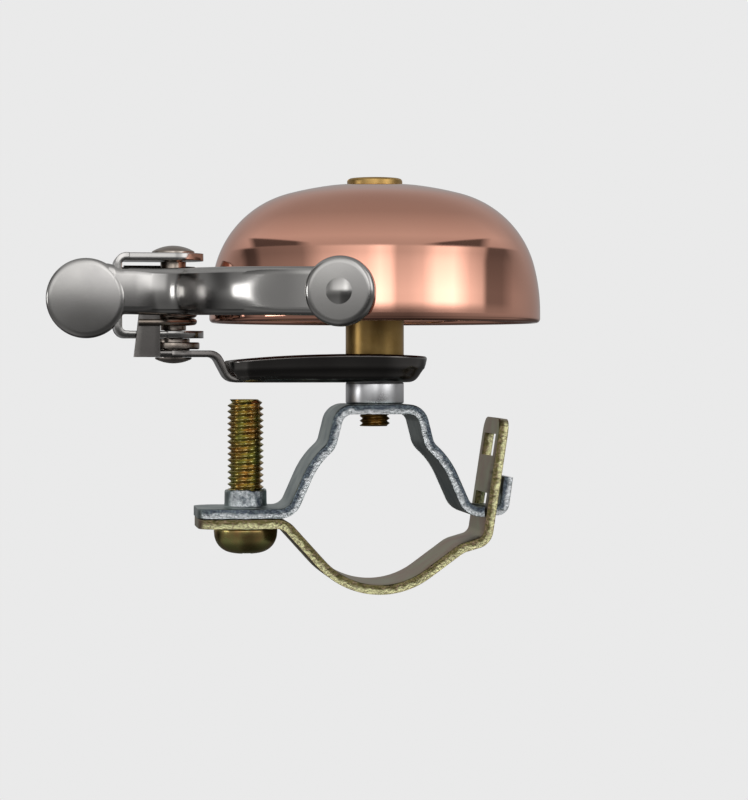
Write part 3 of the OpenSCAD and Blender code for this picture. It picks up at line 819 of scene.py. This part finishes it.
# arm, thumb pad, disc for the hammer, and the two ears with the web between them
def makeLever():
    s = leverSize
    steps = [(s["webX"] - s["neckX"],), (s["straight"],), (s["bendR"], -s["bend"]), (s["run"],),
             (s["sweepR"], s["sweep"])]
    path = bentPath((s["neckX"], s["frontY"], 0), steps, fine=1.5, longest=0.2)
    x = path[:, 0]
    # the neck turns back towards the pad, and widens and drops to it
    path[:, 1] += np.clip(s["webX"] - x, 0, None) * np.tan(np.radians(s["padTurn"]))
    along = np.concatenate([[0], np.cumsum(np.hypot(np.diff(path[:, 0]), np.diff(path[:, 1])))])
    far = along / along[-1]
    atPad = 1 - smooth(x, *s["neckBlend"])
    middles = s["armZ"][0] + (s["armZ"][1] - s["armZ"][0]) * far
    middles = middles + (s["neckZ"] - s["armZ"][0]) * atPad
    halves = s["armHalf"] + (s["neckHalf"] - s["armHalf"]) * atPad
    flanges = s["neckFlange"] + (s["flange"] - s["neckFlange"]) * smooth(x, *s["flangeBlend"])
    arm = armGrid(path, halves, middles, flanges)
    padAway = np.array([-cosine(s["padTurn"]), sine(s["padTurn"]), 0])
    padCentre = np.array([s["padX"], s["frontY"], s["padZ"]]) + s["padReach"] * padAway
    padShape = dishProfile(s["padR"], s["t"], s["padCrown"], s["padEdgeR"], s["padFlange"])
    pad = turnedAlong(padShape, padCentre, 270 - s["padTurn"])
    discT = s["t"] + s["discExtra"]
    discShape = dishProfile(s["discR"], discT, s["discCrown"], s["discEdgeR"], s["flange"])
    disc = turnedAlong(discShape, hammerSeat["centre"], hammerSeat["heading"])
    # ears and web, one bent strip
    pinX = middleX("pivot_pin")
    earMid, footMid = s["earHigh"] - s["earT"] / 2, s["earLow"] + s["earT"] / 2
    straight = s["earTip"] - s["webX"] - s["earT"] / 2 - s["corner"]
    webRun = earMid - footMid - 2 * s["corner"]
    fold = (s["corner"], 90)
    earSteps = [(straight,), fold, (webRun,), fold, (straight,)]
    strip = bentPath((s["earTip"], earMid, 180), earSteps, longest=0.2)
    earHalf = np.sqrt(np.clip(s["earR"] ** 2 - np.clip(strip[:, 0] - pinX, 0, None) ** 2, 0.01, None))
    lowY = np.where(strip[:, 0] < s["earFrontX"], s["earFront"], -earHalf)
    # the lower ear leaves room for the bracket's stop tab
    isFoot = strip[:, 1] < footMid + s["corner"]
    nearTab = isFoot & (strip[:, 0] > s["earFrontX"]) & (strip[:, 0] < pinX - s["tabGapEnd"])
    lowY = np.where(nearTab, s["tabGapY"], lowY)
    ears = sheetGrid(strip, lowY, earHalf, s["earT"], rollOver=0.2, burr=0.1)
    parts = [(arm, True, True), (pad, True, False), (disc, True, False), (ears, True, True)]
    return pieceFromGrids("strikingLever", parts, metals["nickel"], "lever", "lever_body", 30)


hammerSize = {"half": 0.6, "shankR": 1.4, "faceR": 3.0, "faceRise": 1.1, "collar": 0.55, "headR": 2.2,
              "headRise": 0.45, "headLift": 0.12}


# face, collar, shank and low head as one profile about the line it strikes along
def makeHammer():
    s = hammerSize
    half = s["half"]
    r = np.linspace(s["headR"], 0.01, 26)
    rise = s["headRise"] * (1 - (r / s["headR"]) ** 2)
    front = np.stack([r, half + s["headLift"] + rise], -1)
    face = buttonCurve(s["faceR"], s["faceRise"], -half - s["collar"], -1)
    profile = outline(front[::-1], [[s["headR"], half], [s["shankR"], half], [s["shankR"], -half],
                                    [s["faceR"], -half]], face)
    grid = turnedAlong(profile, hammerSeat["centre"], hammerSeat["heading"])
    return pieceFromGrids("hammer", [(grid, True, False)], metals["nickel"], "hammer", "lever_body")


makeLever()
makeHammer()
print("lever made")


# Stage, lights and camera.

# millimetres and degrees; azimuth runs from straight in front towards the right
cameraSize = {"target": (-0.12, 0, 17.83), "distance": 400.0, "azimuth": -8.3, "elevation": 0.93,
              "lens": 108.0}


def fromBell(azimuth, elevation):
    return Vector((sine(azimuth) * cosine(elevation), -cosine(azimuth) * cosine(elevation), sine(elevation)))


def makeCamera():
    s = cameraSize
    back = fromBell(s["azimuth"], s["elevation"])
    data = bpy.data.cameras.new("viewCamera")
    data.lens = s["lens"]
    data.sensor_width = 36.0
    data.clip_start = 0.01
    camera = bpy.data.objects.new("viewCamera", data)
    camera.location = (Vector(s["target"]) + back * s["distance"]) * mm
    camera.rotation_euler = back.to_track_quat("Z", "Y").to_euler()
    bpy.context.scene.collection.objects.link(camera)
    bpy.context.scene.camera = camera


# gives off an even grey of its own and takes no shadow
def paperMaterial(glow):
    material = bpy.data.materials.new("palePaper")
    material.use_nodes = True
    shader = material.node_tree.nodes["Principled BSDF"]
    shader.inputs["Base Color"].default_value = (0, 0, 0, 1)
    shader.inputs["Roughness"].default_value = 0.9
    shader.inputs["Specular IOR Level"].default_value = 0.0
    shader.inputs["Emission Color"].default_value = (1, 1, 1, 1)
    shader.inputs["Emission Strength"].default_value = glow
    return material


# a pale disc well below the bell, in metres, left out of reflections
floorSize = {"height": -0.30, "radius": 4.0, "glow": 0.822}


def makeFloor():
    s = floorSize
    ring = np.linspace(0, 2 * np.pi, 96, endpoint=False)
    radii = np.array([0.001, s["radius"]])[:, None]
    grid = np.stack([radii * np.cos(ring), radii * np.sin(ring), np.full((2, 96), s["height"])], -1)
    mesh = bpy.data.meshes.new("studioFloor")
    mesh.from_pydata(grid.reshape(-1, 3).tolist(), [], gridFaces(2, 96, True, False))
    mesh.materials.append(paperMaterial(s["glow"]))
    piece = bpy.data.objects.new("studioFloor", mesh)
    bpy.context.scene.collection.objects.link(piece)
    piece.visible_glossy = False


# the soft box: angles as for the camera, distance and size in metres, aim in millimetres
lightSet = {
    "frontLeft": {"azimuth": -79, "elevation": 2, "distance": 0.7, "size": (0.20, 0.13), "radiance": 4.2,
                  "aim": (0, 0, 30)},
}


def makeLights():
    for name, s in lightSet.items():
        away = fromBell(s["azimuth"], s["elevation"])
        data = bpy.data.lights.new(name, "AREA")
        data.shape = "RECTANGLE"
        data.size, data.size_y = s["size"]
        # power of an evenly bright surface: pi times radiance times area
        data.energy = s["radiance"] * np.pi * s["size"][0] * s["size"][1]
        light = bpy.data.objects.new(name, data)
        light.location = Vector(s["aim"]) * mm + away * s["distance"]
        light.rotation_euler = away.to_track_quat("Z", "Y").to_euler()
        bpy.context.scene.collection.objects.link(light)


# The room is laid out by mirrors: each part of it has the grey that a mirror turned "across" and
# "up" shows to the front, so a band stays level on anything round.
# "wall..." give where the bright wall starts and ends and how it fades upwards, "edge..." the dark
# edge over it, "plain..." where the room beside and behind the bell takes over.
roomSize = {"front": (-0.144, -0.989, 0.016), "across": (0.989, -0.144, 0.0), "wallTop": (0.415, 0.435),
            "wallFade": (0.12, 0.36, 0.6), "edgeSlant": (-0.06, 0.14), "edgeSoft": 0.015, "edgeGrey": 0.06,
            "plainSides": (0.05, 0.25), "plainBehind": (-0.75, -0.45)}
# grey by "up" with no wall, by "across" on the wall, and how strong the edge, wall and sides are
upStops = ((-1.0, 0.05), (-0.55, 0.08), (-0.35, 0.24), (-0.1, 0.15), (0.0, 0.30), (0.43, 0.50), (0.52, 0.60),
           (0.75, 0.37), (1.0, 0.34))
acrossStops = ((-1.0, 0.36), (-0.79, 0.36), (-0.745, 0.10), (-0.70, 0.12), (-0.66, 0.34), (-0.42, 0.42),
               (-0.30, 1.1), (-0.05, 1.7), (0.03, 2.5), (0.09, 2.0), (0.13, 1.0), (0.20, 1.05),
               (0.28, 1.3), (0.36, 2.3), (0.46, 2.5), (0.56, 1.2), (0.63, 0.90), (0.66, 0.20),
               (0.75, 0.20), (0.82, 0.38), (1.0, 0.40))
shadeStops = ((-1.0, 1.0), (-0.72, 1.0), (-0.68, 0.06), (-0.45, 0.08), (-0.36, 1.0), (0.26, 1.0),
              (0.38, 0.10), (0.60, 0.10), (0.66, 1.0), (1.0, 1.0))
bandStops = ((-1.0, 0.0), (0.015, 0.0), (0.065, 1.0), (1.0, 1.0))
lowStops = ((-1.0, 0.9), (-0.94, 0.9), (-0.90, 0.04), (-0.79, 0.04), (-0.70, 1.0), (-0.3, 1.1),
            (-0.16, 1.2), (-0.09, 0.6), (0.0, 0.45), (0.2, 0.4), (0.5, 1.0), (1.0, 1.2))
backStops = ((-1.0, 0.05), (-0.15, 0.08), (0.0, 0.33), (0.5, 0.42), (1.0, 0.36))


def roomRamp(tree, value, stops):
    ramp = tree.nodes.new("ShaderNodeValToRGB")
    tree.links.new(ranged(tree, value, -1, 1), ramp.inputs[0])
    elements = ramp.color_ramp.elements
    while len(elements) < len(stops):
        elements.new(0.5)
    for element, (place, grey) in zip(elements, stops):
        element.position = (place + 1) / 2
        element.color = (grey, grey, grey, 1)
    return ramp.outputs["Color"]


def vectorStep(tree, operation, first, second=None):
    node = tree.nodes.new("ShaderNodeVectorMath")
    node.operation = operation
    tree.links.new(first, node.inputs[0])
    if second is not None:
        node.inputs[1].default_value = second
    return node.outputs["Value" if operation == "DOT_PRODUCT" else "Vector"]


# the room: pale where seen directly, a bright low wall with a dark edge over it in reflections
def makeRoom():
    s = roomSize
    world = bpy.data.worlds.new("studioRoom")
    bpy.context.scene.world = world
    world.use_nodes = True
    tree = world.node_tree
    direction = tree.nodes.new("ShaderNodeTexCoord").outputs["Generated"]
    black, white = (0, 0, 0), (1, 1, 1)
    facing = vectorStep(tree, "NORMALIZE", vectorStep(tree, "ADD", direction, s["front"]))
    across = vectorStep(tree, "DOT_PRODUCT", facing, s["across"])
    up = vectorStep(tree, "DOT_PRODUCT", facing, (0, 0, 1))
    low, high = s["wallTop"]
    inBand = mixColour(tree, ranged(tree, up, low, high, 1, 0), black, roomRamp(tree, up, bandStops))
    wall = vectorStep(tree, "MULTIPLY", roomRamp(tree, across, acrossStops))
    fadeFrom, fadeTo, fadeLeft = s["wallFade"]
    tree.links.new(ranged(tree, up, fadeFrom, fadeTo, 1, fadeLeft), wall.node.inputs[1])
    sides = mixColour(tree, ranged(tree, up, *s["plainSides"], 1, 0), white, roomRamp(tree, across, lowStops))
    plain = vectorStep(tree, "MULTIPLY", roomRamp(tree, up, upStops))
    tree.links.new(sides, plain.node.inputs[1])
    room = mixColour(tree, inBand, plain, wall)
    # the dark edge over the wall is thicker further out
    outwards = mathStep(tree, "ABSOLUTE", across)
    slanted = mathStep(tree, "SUBTRACT", up, ranged(tree, outwards, 0, 1, *s["edgeSlant"]))
    overBand = mixColour(tree, ranged(tree, slanted, high, high + s["edgeSoft"], 1, 0), black, white)
    overBand = mixColour(tree, ranged(tree, up, low, high), black, overBand)
    shaded = mixColour(tree, roomRamp(tree, across, shadeStops), (s["edgeGrey"],) * 3, room)
    room = mixColour(tree, overBand, room, shaded)
    # behind the bell the room is plain
    ahead = vectorStep(tree, "DOT_PRODUCT", direction, s["front"])
    height = vectorStep(tree, "DOT_PRODUCT", direction, (0, 0, 1))
    behind = roomRamp(tree, height, backStops)
    room = mixColour(tree, ranged(tree, ahead, *s["plainBehind"], 1, 0), room, behind)
    seen = tree.nodes.new("ShaderNodeLightPath").outputs["Is Camera Ray"]
    shade = mixColour(tree, seen, room, (floorSize["glow"],) * 3)
    tree.links.new(shade, tree.nodes["Background"].inputs["Color"])


makeCamera()
makeFloor()
makeLights()
makeRoom()
bpy.context.scene.view_settings.view_transform = "Standard"
print("stage made")
